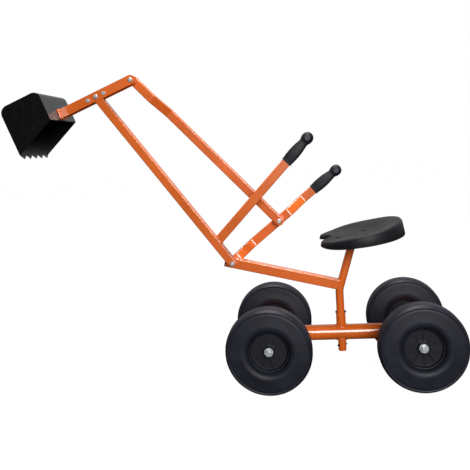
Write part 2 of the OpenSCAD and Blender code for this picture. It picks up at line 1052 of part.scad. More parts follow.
// Wide washers that cover the rod's oversize upper hole.
module rod_upper_washers() {
  color(steel)
    place(tail_x, tail_z, 0) {
      washer_y(boom_y + stick_half, rod_high_y - tube / 2 - 0.05, 12);
      washer_y(rod_far_y + 0.05, rod_far_y + washer_t, 12);
    }
}

rod_bolt_y = rod_low_y - tube / 2;

module rod_lower_bolt() {
  color(steel)
    place(rod_x, rod_z, 0, rod_bolt_y)
      bolt_y(2 * tube + washer_t + nut_t + 2);
}

module rod_lower_nut() {
  color(steel)
    place(rod_x, rod_z, 0)
      nut_y(mid_y + tube / 2);
}

module rod_lower_washer() {
  color(steel)
    place(rod_x, rod_z, 0)
      washer_y(rod_low_y + tube / 2 + 0.05, mid_y - tube / 2, 9);
}

lever_path = [
  [-tube, root_y],
  [jog_a[0], root_y],
  [jog_a[1], mid_y],
  [jog_b[0], mid_y],
  [jog_b[1], hand_y],
  [right_len + grip_depth, hand_y]
];

module right_lever() {
  color(orange)
    place(pivot_x, pivot_z, right_angle)
      difference() {
        intersection() {
          stepped_tube(lever_path);
          round_end_from(0, tube);
        }
        rod_y(bolt_r + run_gap, 0, root_y + tube);
        translate([rod_root, 0, 0])
          rod_y(bolt_r, 0, mid_y + tube);
      }
}

module right_grip() {
  color(black)
    place(pivot_x, pivot_z, right_angle)
      translate([right_len, hand_y, 0])
        grip();
}

// From the stick's rear bolt, x = 0, down to the right lever, x = rod_len.
rod_path = [
  [-tube, rod_high_y],
  [rod_jog[0], rod_high_y],
  [rod_jog[1], rod_low_y],
  [rod_len + tube, rod_low_y]
];

module push_rod() {
  color(orange)
    place(tail_x, tail_z, rod_angle + 180)
      difference() {
        intersection() {
          stepped_tube(rod_path);
          round_end_from(0, tube);
          translate([rod_len, 0, 0])
            mirror([1, 0, 0])
              round_end_from(0, tube);
        }
        rod_y(bolt_r + open_gap, rod_high_y - tube, rod_high_y + tube);
        translate([rod_len, 0, 0])
          rod_y(bolt_r + run_gap, rod_low_y - tube, rod_low_y + tube);
      }
}

// ---------------------------------------------------------------- assembly

chassis_beam();
swivel_sleeve();
front_cross_tube();
rear_cross_tube();
axle_bushings();
front_axle_rod();
rear_axle_rod();
axle_washers();
axle_nuts();
tyre_front_left();
hub_front_left();
tyre_front_right();
hub_front_right();
tyre_rear_left();
hub_rear_left();
tyre_rear_right();
hub_rear_right();
seat_post();
arm_tube();
arm_end_plug();
swivel_bolts();
swivel_nuts();
seat_plate();
seat();
seat_bolts();
seat_nuts();
main_pivot_bolt();
main_pivot_nut();
main_pivot_washers();
boom_tube();
left_lever();
left_grip();
dipper_stick();
stick_pivot_bolt();
stick_pivot_nut();
stop_bolts();
stop_nuts();
bucket_wrap();
bucket_side_left();
bucket_side_right();
rod_upper_bolt();
rod_upper_nut();
rod_upper_washers();
right_lever();
right_grip();
rod_lower_bolt();
rod_lower_nut();
rod_lower_washer();
push_rod();
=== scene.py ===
import json
import math

import bmesh
import bpy
from bpy.props import FloatProperty, FloatVectorProperty, IntProperty, PointerProperty
from mathutils import Matrix, Vector


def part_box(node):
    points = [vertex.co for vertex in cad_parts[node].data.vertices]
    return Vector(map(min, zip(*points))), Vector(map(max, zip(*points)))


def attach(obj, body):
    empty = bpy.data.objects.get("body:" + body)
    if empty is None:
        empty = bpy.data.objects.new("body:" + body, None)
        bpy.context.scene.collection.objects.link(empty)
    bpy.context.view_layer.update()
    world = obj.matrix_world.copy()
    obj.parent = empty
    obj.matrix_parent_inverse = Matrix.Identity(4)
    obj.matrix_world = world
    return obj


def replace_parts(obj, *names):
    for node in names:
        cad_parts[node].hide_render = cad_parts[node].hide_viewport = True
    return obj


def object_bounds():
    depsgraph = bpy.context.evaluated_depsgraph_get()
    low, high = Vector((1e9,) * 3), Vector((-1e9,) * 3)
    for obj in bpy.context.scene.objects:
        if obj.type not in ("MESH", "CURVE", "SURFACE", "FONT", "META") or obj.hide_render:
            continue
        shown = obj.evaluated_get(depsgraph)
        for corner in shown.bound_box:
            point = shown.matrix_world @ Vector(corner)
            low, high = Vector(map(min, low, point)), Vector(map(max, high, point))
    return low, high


bl_info = {
    "name": "Ride-on Sand Digger",
    "version": (1, 0, 0),
    "blender": (4, 5, 0),
    "location": "View3D > Sidebar > Digger",
    "description": "Builds the shown pieces of a ride-on sand digger round its frame",
    "category": "Object",
}

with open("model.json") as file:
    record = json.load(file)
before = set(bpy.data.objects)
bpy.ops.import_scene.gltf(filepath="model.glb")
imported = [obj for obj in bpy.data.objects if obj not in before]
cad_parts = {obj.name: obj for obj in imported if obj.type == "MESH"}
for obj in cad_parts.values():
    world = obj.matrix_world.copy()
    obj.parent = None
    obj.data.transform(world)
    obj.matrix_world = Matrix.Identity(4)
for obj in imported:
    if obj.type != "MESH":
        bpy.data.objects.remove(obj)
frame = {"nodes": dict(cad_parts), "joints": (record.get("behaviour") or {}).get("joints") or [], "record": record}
FRAME_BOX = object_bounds()
RECORD = frame["record"]
SLOT_OF = {s["node"]: s["material_slot"] for s in RECORD["subparts"]}
BODY_OF = {n: b for b, nodes in RECORD["behaviour"]["bodies"].items() for n in nodes}
PIVOT = {j["name"]: Vector(j["pos_m"]) for j in frame["joints"]}
MM = 0.001
CORNERS = ("front_left", "front_right", "rear_left", "rear_right")

# Angles in degrees above the rearward axis, and lengths in millimetres, as the frame has them
BOOM_LEAN = 126.25
LEFT_LEVER_LEAN = 46
RIGHT_LEVER_LEAN = 38
STICK_LEAN = 21.6
LEFT_LEVER_FOOT = 72
LEVER_REACH = 296
RIGHT_LEVER_END = 340
SEAT_PLACE = (50, 0, 375)
SEAT_TILT = 7
SEAT_STEPS = 144
SEAT_SHIFT = 16
SEAT_HOLE_Y = (-38, 38)
# Distance along the seat, radius and floor height of each pocket and drain, in both rows
SEAT_HOLES = ((-47.5, 7.2, 8.4), (28.5, 7.2, 3.4), (-21.5, 3.2, -9), (3, 3.2, -9))
# Distance along the seat and height of each pad, in both rows
SEAT_PADS = ((-47.5, 9.6), (28.5, 4.6))
# Clocking of each hub's ribs, in degrees
HUB_TURN = {"front_left": 8, "front_right": 0, "rear_left": 18, "rear_right": 5}
FLOOR_PAINT = "#484848"
CAMERA_PLACE = (-0.0732, -1.7574, 0.6365)
# Yaw, pitch and roll in radians
CAMERA_TURN = (-0.108, -0.041, -0.059)


# ------------------------------------------------------------------ colours


def srgb(code):
    """Linear red, green, blue and alpha of an sRGB hex colour."""
    parts = [int(code[i : i + 2], 16) / 255 for i in (1, 3, 5)]
    linear = [c / 12.92 if c <= 0.04045 else ((c + 0.055) / 1.055) ** 2.4 for c in parts]
    return (*linear, 1.0)


class DiggerColours(bpy.types.PropertyGroup):
    """Colours of the digger's finishes."""

    coat: FloatVectorProperty(
        name="Powder coat",
        description="Colour of the orange powder coat on the frame tubes",
        subtype="COLOR",
        size=4,
        min=0,
        max=1,
        default=srgb("#EF6E1C"),
    )
    enamel: FloatVectorProperty(
        name="Bucket enamel",
        description="Colour of the satin enamel on the bucket",
        subtype="COLOR",
        size=4,
        min=0,
        max=1,
        default=srgb("#090A0C"),
    )
    tyre: FloatVectorProperty(
        name="Tyre",
        description="Colour of the blow-moulded tyres",
        subtype="COLOR",
        size=4,
        min=0,
        max=1,
        default=srgb("#191B25"),
    )
    seat: FloatVectorProperty(
        name="Seat",
        description="Colour of the moulded seat",
        subtype="COLOR",
        size=4,
        min=0,
        max=1,
        default=srgb("#15161A"),
    )
    grip: FloatVectorProperty(
        name="Grips",
        description="Colour of the hand grips",
        subtype="COLOR",
        size=4,
        min=0,
        max=1,
        default=srgb("#101118"),
    )
    floor: FloatVectorProperty(
        name="Floor",
        description="Colour that the studio floor glows with where it is seen",
        subtype="COLOR",
        size=4,
        min=0,
        max=1,
        default=srgb("#FFFFFF"),
    )


class DiggerSizes(bpy.types.PropertyGroup):
    """Sizes of details that the frame does not fix."""

    edge: FloatProperty(
        name="Broken edge",
        description="Width of the small round on cut metal edges",
        default=0.35 * MM,
        min=0,
        unit="LENGTH",
        precision=5,
    )
    crease: FloatProperty(
        name="Bend crease",
        description="Width of the rounded crease at each bend of the square tubes",
        default=4.5 * MM,
        min=0,
        unit="LENGTH",
        precision=5,
    )
    weld: FloatProperty(
        name="Weld bead",
        description="Radius of the weld beads",
        default=2.6 * MM,
        min=0,
        unit="LENGTH",
        precision=5,
    )
    wheel_steps: IntProperty(
        name="Wheel steps",
        description="Steps round each tyre and hub",
        default=120,
        min=24,
        max=256,
    )
    hub_ribs: IntProperty(
        name="Hub ribs",
        description="Ribs on each side of a hub",
        default=10,
        min=3,
        max=24,
    )


# ------------------------------------------------------------------ materials


def add(tree, kind, inputs=None, **settings):
    """Adds a node with its settings, and sets or links its inputs."""
    node = tree.nodes.new(kind)
    for name, value in settings.items():
        setattr(node, name, value)
    for name, value in (inputs or {}).items():
        socket = node.inputs[name]
        if isinstance(value, bpy.types.NodeSocket):
            tree.links.new(value, socket)
        else:
            socket.default_value = value
    return node


def blank(name):
    """A new material with an empty node tree."""
    material = bpy.data.materials.new(name)
    material.use_nodes = True
    material.node_tree.nodes.clear()
    return material, material.node_tree


def shade(colour, factor):
    """A colour made lighter or darker."""
    return (*[min(1, c * factor) for c in colour[:3]], 1.0)


def powder_coat(colour):
    """Powder-coated steel: an even gloss colour with the fine orange peel of baked powder."""
    material, tree = blank("orange_powder_coat")
    place = add(tree, "ShaderNodeTexCoord").outputs["Object"]
    # Film thickness wanders over about 80 mm, and darkens the colour a little
    wander = add(tree, "ShaderNodeTexNoise", {"Vector": place, "Scale": 12.0, "Detail": 3.0})
    tone = add(tree, "ShaderNodeValToRGB", {"Fac": wander.outputs["Fac"]})
    tone.color_ramp.elements[0].position = 0.3
    tone.color_ramp.elements[0].color = shade(colour, 0.86)
    tone.color_ramp.elements[1].position = 0.7
    tone.color_ramp.elements[1].color = shade(colour, 1.04)
    # Orange peel is about 1.5 mm across; drawn at 3 mm so that it shows
    peel = add(tree, "ShaderNodeTexNoise", {"Vector": place, "Scale": 330.0, "Detail": 1.0})
    bump = add(
        tree,
        "ShaderNodeBump",
        {"Height": peel.outputs["Fac"], "Strength": 0.05, "Distance": 0.0006},
    )
    gloss = add(
        tree,
        "ShaderNodeMapRange",
        {"Value": wander.outputs["Fac"], "To Min": 0.28, "To Max": 0.40},
    )
    surface = add(
        tree,
        "ShaderNodeBsdfPrincipled",
        {
            "Base Color": tone.outputs["Color"],
            "Roughness": gloss.outputs["Result"],
            "Normal": bump.outputs["Normal"],
            "IOR": 1.5,
            "Coat Weight": 1.0,
            "Coat Roughness": 0.1,
            "Coat IOR": 1.65,
        },
    )
    add(tree, "ShaderNodeOutputMaterial", {"Surface": surface.outputs["BSDF"]})
    return material


def satin_enamel(colour):
    """Baked enamel on sheet steel: satin black with a faint film of handling marks."""
    material, tree = blank("black_satin_enamel")
    place = add(tree, "ShaderNodeTexCoord").outputs["Object"]
    # Handling marks are about 25 mm across
    marks = add(
        tree,
        "ShaderNodeTexNoise",
        {"Vector": place, "Scale": 40.0, "Detail": 6.0, "Roughness": 0.65},
    )
    film = add(
        tree,
        "ShaderNodeMapRange",
        {
            "Value": marks.outputs["Fac"],
            "From Min": 0.35,
            "From Max": 0.75,
            "To Min": 0.24,
            "To Max": 0.34,
        },
    )
    tone = add(tree, "ShaderNodeValToRGB", {"Fac": marks.outputs["Fac"]})
    tone.color_ramp.elements[0].position = 0.4
    tone.color_ramp.elements[0].color = colour
    tone.color_ramp.elements[1].position = 0.8
    tone.color_ramp.elements[1].color = shade(colour, 1.5)
    # Slow waves of the pressed sheet, about 60 mm long
    waves = add(tree, "ShaderNodeTexNoise", {"Vector": place, "Scale": 16.0, "Detail": 0.0})
    bump = add(
        tree,
        "ShaderNodeBump",
        {"Height": waves.outputs["Fac"], "Strength": 0.15, "Distance": 0.002},
    )
    surface = add(
        tree,
        "ShaderNodeBsdfPrincipled",
        {
            "Base Color": tone.outputs["Color"],
            "Roughness": film.outputs["Result"],
            "Normal": bump.outputs["Normal"],
            "IOR": 1.5,
        },
    )
    add(tree, "ShaderNodeOutputMaterial", {"Surface": surface.outputs["BSDF"]})
    return material


def moulded_plastic(name, colour, grain, rough, dust, sheen=0.35):
    """Dark moulded plastic or rubber: satin, with the mould's grain and a little pale dust."""
    material, tree = blank(name)
    place = add(tree, "ShaderNodeTexCoord").outputs["Object"]
    # Dust gathers in patches about 40 mm across
    patches = add(
        tree,
        "ShaderNodeTexNoise",
        {"Vector": place, "Scale": 25.0, "Detail": 5.0, "Roughness": 0.6},
    )
    tone = add(tree, "ShaderNodeValToRGB", {"Fac": patches.outputs["Fac"]})
    tone.color_ramp.elements[0].position = 0.35
    tone.color_ramp.elements[0].color = shade(colour, 0.85)
    tone.color_ramp.elements[1].position = 0.75
    tone.color_ramp.elements[1].color = shade(colour, dust)
    pits = add(
        tree,
        "ShaderNodeTexVoronoi",
        {"Vector": place, "Scale": 1.0 / grain},
    )
    bump = add(
        tree,
        "ShaderNodeBump",
        {"Height": pits.outputs["Distance"], "Strength": 0.08, "Distance": grain / 4},
    )
    satin = add(
        tree,
        "ShaderNodeMapRange",
        {"Value": patches.outputs["Fac"], "To Min": rough - 0.07, "To Max": rough + 0.09},
    )
    surface = add(
        tree,
        "ShaderNodeBsdfPrincipled",
        {
            "Base Color": tone.outputs["Color"],
            "Roughness": satin.outputs["Result"],
            "Normal": bump.outputs["Normal"],
            "IOR": 1.49,
            "Specular IOR Level": sheen,
        },
    )
    add(tree, "ShaderNodeOutputMaterial", {"Surface": surface.outputs["BSDF"]})
    return material


def zinc_plate():
    """Bright zinc plate on steel: pale metal with duller crystal spots."""
    material, tree = blank("bright_zinc_plate")
    place = add(tree, "ShaderNodeTexCoord").outputs["Object"]
    # Crystal spots of the plating are about 2 mm across
    spots = add(tree, "ShaderNodeTexNoise", {"Vector": place, "Scale": 450.0, "Detail": 3.0})
    tone = add(tree, "ShaderNodeValToRGB", {"Fac": spots.outputs["Fac"]})
    tone.color_ramp.elements[0].position = 0.3
    tone.color_ramp.elements[0].color = srgb("#BFC3C7")
    tone.color_ramp.elements[1].position = 0.7
    tone.color_ramp.elements[1].color = srgb("#DDE0E2")
    dull = add(
        tree,
        "ShaderNodeMapRange",
        {"Value": spots.outputs["Fac"], "To Min": 0.34, "To Max": 0.46},
    )
    surface = add(
        tree,
        "ShaderNodeBsdfPrincipled",
        {"Base Color": tone.outputs["Color"], "Roughness": dull.outputs["Result"], "Metallic": 0.6},
    )
    add(tree, "ShaderNodeOutputMaterial", {"Surface": surface.outputs["BSDF"]})
    return material


def blackened_steel():
    """Blackened steel fasteners: near-black metal with a thin oily sheen."""
    material, tree = blank("blackened_steel")
    place = add(tree, "ShaderNodeTexCoord").outputs["Object"]
    # Oxide mottling about 3 mm across
    mottle = add(tree, "ShaderNodeTexNoise", {"Vector": place, "Scale": 330.0, "Detail": 3.0})
    tone = add(tree, "ShaderNodeValToRGB", {"Fac": mottle.outputs["Fac"]})
    tone.color_ramp.elements[0].position = 0.3
    tone.color_ramp.elements[0].color = srgb("#1A1A1C")
    tone.color_ramp.elements[1].position = 0.7
    tone.color_ramp.elements[1].color = srgb("#3A3A3D")
    sheen = add(
        tree,
        "ShaderNodeMapRange",
        {"Value": mottle.outputs["Fac"], "To Min": 0.3, "To Max": 0.5},
    )
    surface = add(
        tree,
        "ShaderNodeBsdfPrincipled",
        {
            "Base Color": tone.outputs["Color"],
            "Roughness": sheen.outputs["Result"],
            "Metallic": 0.8,
        },
    )
    add(tree, "ShaderNodeOutputMaterial", {"Surface": surface.outputs["BSDF"]})
    return material


FINISH = {}


def mix_finishes(colours):
    """Makes one material for each slot of the record, and a lighter copy of the grip rubber that paints a sheen on
    the raised discs of the grips.
    """
    FINISH["orange_paint"] = powder_coat(tuple(colours.coat))
    FINISH["bucket_paint"] = satin_enamel(tuple(colours.enamel))
    # Grain of 1.6 mm on the blow-moulded skin, 1.2 mm on injection-moulded parts and 1 mm on
    # rubber. Each is drawn coarser than a real mould's grain, so that it shows
    FINISH["tyre"] = moulded_plastic("tyre_polyethylene", tuple(colours.tyre), 1.6 * MM, 0.5, 1.5)
    FINISH["hub_plastic"] = moulded_plastic(
        "hub_polypropylene", shade(tuple(colours.tyre), 0.8), 1.2 * MM, 0.5, 1.35
    )
    FINISH["seat_plastic"] = moulded_plastic(
        "seat_polyethylene", tuple(colours.seat), 1.2 * MM, 0.48, 1.4, 0.27
    )
    FINISH["grip"] = moulded_plastic("grip_soft_rubber", tuple(colours.grip), 1.0 * MM, 0.55, 1.3)
    # The raised discs on the grip balls get a lighter copy of the grip rubber: a painted sheen, in place of the
    # light that their flat faces catch
    FINISH["grip_mark"] = moulded_plastic("grip_mark_rubber", srgb("#3A3D49"), 1.0 * MM, 0.5, 1.2)
    FINISH["black_plastic"] = moulded_plastic(
        "plug_polyethylene", shade(tuple(colours.grip), 0.8), 1.0 * MM, 0.5, 1.3
    )
    FINISH["zinc"] = zinc_plate()
    FINISH["dark_steel"] = blackened_steel()


# ------------------------------------------------------------------ pieces


def at(point, angle):
    """Local frame whose X axis is raised by an angle in the XZ plane."""
    return Matrix.Translation(point) @ Matrix.Rotation(-math.radians(angle), 4, "Y")


def centre(node):
    """Middle of a node's box."""
    low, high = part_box(node)
    return (low + high) / 2


def smooth(mesh, angle=30):
    """Shades a mesh smooth, with hard edges where faces meet sharply."""
    for face in mesh.faces:
        face.smooth = True
    limit = math.radians(angle)
    for edge in mesh.edges:
        edge.smooth = len(edge.link_faces) != 2 or edge.calc_face_angle(0) < limit


def show(mesh, name, nodes, weighted=True):
    """Makes a finished mesh a piece that stands for its nodes."""
    data = bpy.data.meshes.new(name)
    mesh.to_mesh(data)
    mesh.free()
    piece = bpy.data.objects.new(name, data)
    bpy.context.scene.collection.objects.link(piece)
    data.materials.append(FINISH[SLOT_OF[nodes[0]]])
    if weighted:
        normals = piece.modifiers.new("Face normals", "WEIGHTED_NORMAL")
        normals.keep_sharp = True
    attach(piece, BODY_OF[nodes[0]])
    return piece


def stand_in(mesh, name, nodes, weighted=True):
    """Shows a piece in the place of its nodes."""
    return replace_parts(show(mesh, name, nodes, weighted), *nodes)


def merged_copy(node):
    """A node's mesh with its triangles joined and its flats made whole."""
    mesh = bmesh.new()
    mesh.from_mesh(frame["nodes"][node].data)
    bmesh.ops.remove_doubles(mesh, verts=mesh.verts, dist=0.004 * MM)
    bmesh.ops.dissolve_limit(
        mesh, angle_limit=math.radians(0.4), verts=mesh.verts, edges=mesh.edges
    )
    return mesh


def round_edges(mesh, edges, width, segments=2):
    """Rounds edges by a small bevel."""
    if edges and width > 0:
        bmesh.ops.bevel(
            mesh,
            geom=edges,
            offset=width,
            offset_type="OFFSET",
            affect="EDGES",
            segments=segments,
            profile=0.5,
            material=-1,
            clamp_overlap=True,
        )


def sharp_edges(mesh, low=38, high=180):
    """Edges whose two faces turn by an angle within limits, in degrees."""
    return [
        e
        for e in mesh.edges
        if len(e.link_faces) == 2 and low < math.degrees(e.calc_face_angle(0)) < high
    ]


def dressed(node, width):
    """A metal or plastic part as the frame has it, with its edges broken."""
    mesh = merged_copy(node)
    round_edges(mesh, sharp_edges(mesh), width)
    smooth(mesh)
    return stand_in(mesh, node + "_finished", [node])


def spun(profile, steps):
    """Spins a closed or open profile of (radius, along) points a full turn about Y."""
    mesh = bmesh.new()
    verts = [mesh.verts.new((r, y, 0)) for r, y in profile]
    for a, b in zip(verts, verts[1:]):
        mesh.edges.new((a, b))
    bmesh.ops.spin(
        mesh,
        geom=mesh.verts[:] + mesh.edges[:],
        cent=(0, 0, 0),
        axis=(0, 1, 0),
        angle=math.tau,
        steps=steps,
        use_merge=True,
    )
    return mesh


def tidy_skin(mesh):
    """Closes the seam of a spun mesh and turns its faces outwards."""
    bmesh.ops.remove_doubles(mesh, verts=mesh.verts, dist=0.002 * MM)
    bmesh.ops.recalc_face_normals(mesh, faces=mesh.faces)


def in_mm(points):
    """Points given in millimetres, in metres."""
    return [tuple(c * MM for c in p) for p in points]


# Half of the tyre's skin from the hub seat to the middle of the tread, as
# (radius, distance from the wheel's middle plane)
TYRE_HALF = [
    (52, 12), (52.4, 16), (53.4, 20), (55.2, 23.6), (58, 26.6), (61.5, 28.6), (65, 29.6),
    (68, 30), (71, 29.9), (76, 29.2), (84, 28.3), (92, 27.6), (97, 27.2), (100, 26.9),
    (101.2, 26.2), (102.2, 26.0), (103.2, 26.5), (104.4, 27.3), (105.6, 27.2),
    (106.6, 26.4), (107.2, 25.2), (108.4, 23.9), (109.8, 22.0), (111, 19.4), (111.8, 16.6),
    (112.3, 13.6), (112.5, 11.4), (112.5, 10.6), (111.6, 10.2), (111.6, 8.8), (112.5, 8.4),
    (112.5, 1.4), (111.6, 1.0),
]

# Half of the hub, from its middle plane at the bore outwards
HUB_HALF = [
    (6.2, 0), (6.2, 13.4), (6.8, 14), (13.4, 14), (14.4, 13.2), (15.2, 8.4), (16.4, 7.4),
    (20, 7.0), (44, 7.0), (46.4, 7.6), (47.6, 9.4), (48.2, 13), (48.8, 14.8), (50, 15.6),
    (51.4, 15.6), (51.9, 14.8), (51.9, 0),
]


def tyre_skin(steps):
    """A tyre round the Y axis, from its half profile."""
    half = in_mm(TYRE_HALF)
    ring = half + [(r, -y) for r, y in reversed(half)]
    mesh = spun(ring + ring[:1], steps)
    tidy_skin(mesh)
    return mesh


def hub_skin(steps, ribs):
    """A hub round the Y axis, with its ribs on both sides."""
    half = in_mm(HUB_HALF)
    mesh = spun(half + [(r, -y) for r, y in reversed(half[1:-1])] + half[:1], steps)
    tidy_skin(mesh)
    for side in (-1, 1):
        for i in range(ribs):
            rib = bmesh.ops.create_cube(mesh, size=1)["verts"]
            bmesh.ops.scale(mesh, verts=rib, vec=Vector((35, 4.6, 2.4)) * MM)
            bmesh.ops.translate(mesh, verts=rib, vec=Vector((31.5, side * 8.0, 0)) * MM)
            for v in rib:
                # The ribs fall away towards the rim
                if v.co.x > 0.04 and abs(v.co.y) > 8 * MM:
                    v.co.y -= side * 1.4 * MM
            crest = [
                e
                for e in {e for v in rib for e in v.link_edges}
                if all(abs(v.co.y) > 8 * MM for v in e.verts)
            ]
            made = bmesh.ops.bevel(
                mesh,
                geom=crest,
                offset=0.7 * MM,
                affect="EDGES",
                segments=2,
                profile=0.5,
                material=-1,
                clamp_overlap=True,
            )
            rib = list(set(v for v in rib if v.is_valid) | set(made["verts"]))
            bmesh.ops.rotate(
                mesh,
                verts=rib,
                cent=(0, 0, 0),
                matrix=Matrix.Rotation(i * math.tau / ribs, 3, "Y"),
            )
    return mesh


# Outline of the seat: radius in millimetres at each heading from the rear
SEAT_OUTLINE = [
    (0, 115), (20, 119), (40, 129), (60, 140), (80, 146), (95, 146), (110, 144),
    (125, 140), (138, 136), (148, 130), (155, 119), (161, 102), (168, 88), (180, 80),
]
# Heights in millimetres of the rim's crest, the skirt's edge and the dished floor
SEAT_RIM = [(0, 34), (40, 31), (70, 25), (100, 20), (125, 14), (148, 13), (165, 15), (180, 15)]
SEAT_SKIRT = [(0, -7), (110, -7), (130, -5), (150, 1), (165, 2), (180, 2)]
SEAT_FLOOR = [(0, 8), (60, 8), (100, 9.5), (140, 12), (180, 14)]
SEAT_MIDDLE = 8


def ease(share):
    """Rises smoothly from 0 to 1."""
    share = min(1, max(0, share))
    return share * share * (3 - 2 * share)


def read_off(table, heading):
    """Reads a table with a smooth curve through its points."""
    a = abs((heading + 180) % 360 - 180)
    points = [(-x, y) for x, y in table[1:3][::-1]] + table
    points += [(360 - x, y) for x, y in table[-3:-1][::-1]]
    for i in range(1, len(points) - 2):
        (x0, y0), (x1, y1), (x2, y2), (x3, y3) = points[i - 1 : i + 3]
        if x1 <= a <= x2:
            t = (a - x1) / (x2 - x1)
            m1 = (y2 - y0) / (x2 - x0) * (x2 - x1)
            m2 = (y3 - y1) / (x3 - x1) * (x2 - x1)
            return (
                (2 * t**3 - 3 * t**2 + 1) * y1
                + (t**3 - 2 * t**2 + t) * m1
                + (3 * t**2 - 2 * t**3) * y2
                + (t**3 - t**2) * m2
            )
    raise ValueError("a heading is outside the table")


def seat_height(heading, share):
    """Height of the seat's top at a share of the way out to its rim."""
    floor = read_off(SEAT_FLOOR, heading)
    rise = (read_off(SEAT_RIM, heading) - floor) * ease((share - 0.3) / 0.7)
    return SEAT_MIDDLE + (floor - SEAT_MIDDLE) * ease(share / 0.5) + rise


def seat_skin(steps):
    """The moulded seat: a dished top, a rolled rim and a skirt, with its underside."""
    shares = [0, 0.1, 0.2, 0.3, 0.4, 0.5, 0.6, 0.7, 0.79, 0.87, 0.93, 0.97, 1.0]
    top = [("top", s) for s in shares]
    edge = [("rim", k) for k in (1, 2, 3, 4, 5, 6, 7)]
    under = [("under", s) for s in reversed(shares[:-1])]
    rings = top + edge + under
    mesh = spun([(max(i, 0) * MM, -i * MM) for i in range(len(rings))], steps)
    bmesh.ops.remove_doubles(mesh, verts=mesh.verts, dist=0.02 * MM)
    for v in mesh.verts:
        ring = round(-v.co.y / MM)
        heading = math.degrees(math.atan2(v.co.z, v.co.x))
        kind, k = rings[ring]
        out = read_off(SEAT_OUTLINE, heading)
        rim = read_off(SEAT_RIM, heading)
        skirt = read_off(SEAT_SKIRT, heading)
        if kind == "top":
            r, z = k * (out - 5), seat_height(heading, k)
        elif kind == "under":
            r, z = k * (out - 6), seat_height(heading, k) - 4
        else:
            r, z = {
                1: (out - 2.2, rim - 0.9),
                2: (out - 0.4, rim - 3.4),
                3: (out + 0.8, rim - 7),
                4: (out + 2.6, skirt + 1.5),
                5: (out + 2.0, skirt),
                6: (out + 0.4, skirt + 0.8),
                7: (out - 3.4, rim - 9),
            }[k]
        a = math.radians(heading)
        v.co = Vector((r * math.cos(a) + SEAT_SHIFT, r * math.sin(a), z)) * MM
    bmesh.ops.remove_doubles(mesh, verts=mesh.verts, dist=0.02 * MM)
    bmesh.ops.recalc_face_normals(mesh, faces=mesh.faces)
    return mesh


# Side view of a grip: distance along it, half width, and how square it is
GRIP_RINGS = [
    (0.2, 13.0, 0.9), (0.0, 14.6, 0.9), (0.4, 15.4, 0.9), (1.4, 15.6, 0.9), (2.8, 15.3, 0.9),
    (3.4, 14.7, 0.9), (4.4, 14.6, 0.88), (8, 15.0, 0.85), (14, 15.6, 0.8), (22, 16.2, 0.75),
    (30, 16.35, 0.7), (38, 16.2, 0.66), (46, 15.7, 0.6), (54, 14.9, 0.52), (61, 13.9, 0.42),
    (66, 13.2, 0.32), (69.5, 12.8, 0.22), (72, 12.75, 0.12), (74.2, 13.3, 0.06),
    (76.6, 14.4, 0), (79.5, 15.4, 0), (83, 16.1, 0), (87.5, 16.45, 0), (92, 15.9, 0),
    (95.8, 14.3, 0), (99, 12.0, 0), (101.6, 8.9, 0), (103.2, 5.4, 0), (103.9, 2.4, 0),
    (104.0, 0, 0),
]


def grip_skin():
    """A hand grip along X, from its flange to its ball end."""
    mesh = spun([(r * MM, x * MM) for x, r, _ in GRIP_RINGS], 64)
    square = {round(x, 3): s for x, _, s in GRIP_RINGS}
    for v in mesh.verts:
        x, r = v.co.y / MM, math.hypot(v.co.x, v.co.z) / MM
        a = math.atan2(v.co.z, v.co.x)
        s = square.get(round(x, 3), 0)
        # A circle drawn out towards a square with rounded corners
        power = 2 + 4 * s
        reach = (abs(math.cos(a)) ** power + abs(math.sin(a)) ** power) ** (-1 / power)
        y, z = r * reach * math.cos(a), r * reach * math.sin(a)
        # The ball is slightly flat from side to side
        y *= 1 - 0.022 * min(1, max(0, (x - 72) / 10))
        v.co = Vector((x, y, z)) * MM
    bmesh.ops.remove_doubles(mesh, verts=mesh.verts, dist=0.01 * MM)
    base = [e for e in mesh.edges if len(e.link_faces) == 1]
    bmesh.ops.contextual_create(mesh, geom=base)
    bmesh.ops.recalc_face_normals(mesh, faces=mesh.faces)
    return mesh


def grip_marks():
    """Raised round discs on both sides of a grip's ball, which are shown in a lighter colour as a painted sheen.
    """
    mesh = bmesh.new()
    for side in (-1, 1):
        place = Matrix.Translation(Vector((87.5, side * 13.6, 0)) * MM) @ Matrix.Rotation(
            math.radians(-90 * side), 4, "X"
        )
        bmesh.ops.create_cone(
            mesh,
            cap_ends=True,
            segments=40,
            radius1=7.5 * MM,
            radius2=7.5 * MM,
            depth=5.2 * MM,
            matrix=place,
        )
    round_edges(mesh, sharp_edges(mesh, 60), 0.4 * MM)
    bmesh.ops.recalc_face_normals(mesh, faces=mesh.faces)
    return mesh


def show_grip(side, place):
    """Shows the grip on one lever, and the raised discs on its ball in a lighter colour that paints their sheen.
    """
    grip = grip_skin()
    bmesh.ops.transform(grip, matrix=place, verts=grip.verts)
    smooth(grip, 45)
    stand_in(grip, side + "_grip_moulding", [side + "_grip"], False)
    marks = grip_marks()
    bmesh.ops.transform(marks, matrix=place, verts=marks.verts)
    smooth(marks)
    piece = show(marks, side + "_grip_marks", [side + "_grip"])
    # The discs take the lighter copy of the grip rubber, a painted sheen
    piece.data.materials[0] = FINISH["grip_mark"]


def weld_bead(mesh, points, radius):
    """Lays a rippled weld bead round a closed run of points, as a chain of joined rings."""
    rings = []
    for i, point in enumerate(points):
        after = points[(i + 1) % len(points)]
        turn = (after - points[i - 1]).to_track_quat("Z", "Y").to_matrix().to_4x4()
        # Each puddle of the bead swells and narrows a little
        swell = radius * (1.0 if i % 2 else 0.84)
        ring = bmesh.ops.create_circle(
            mesh, cap_ends=False, radius=swell, segments=8, matrix=Matrix.Translation(point) @ turn
        )["verts"]
        rings.append(list({e for v in ring for e in v.link_edges}))
    for one, two in zip(rings, rings[1:] + rings[:1]):
        bmesh.ops.bridge_loops(mesh, edges=one + two)


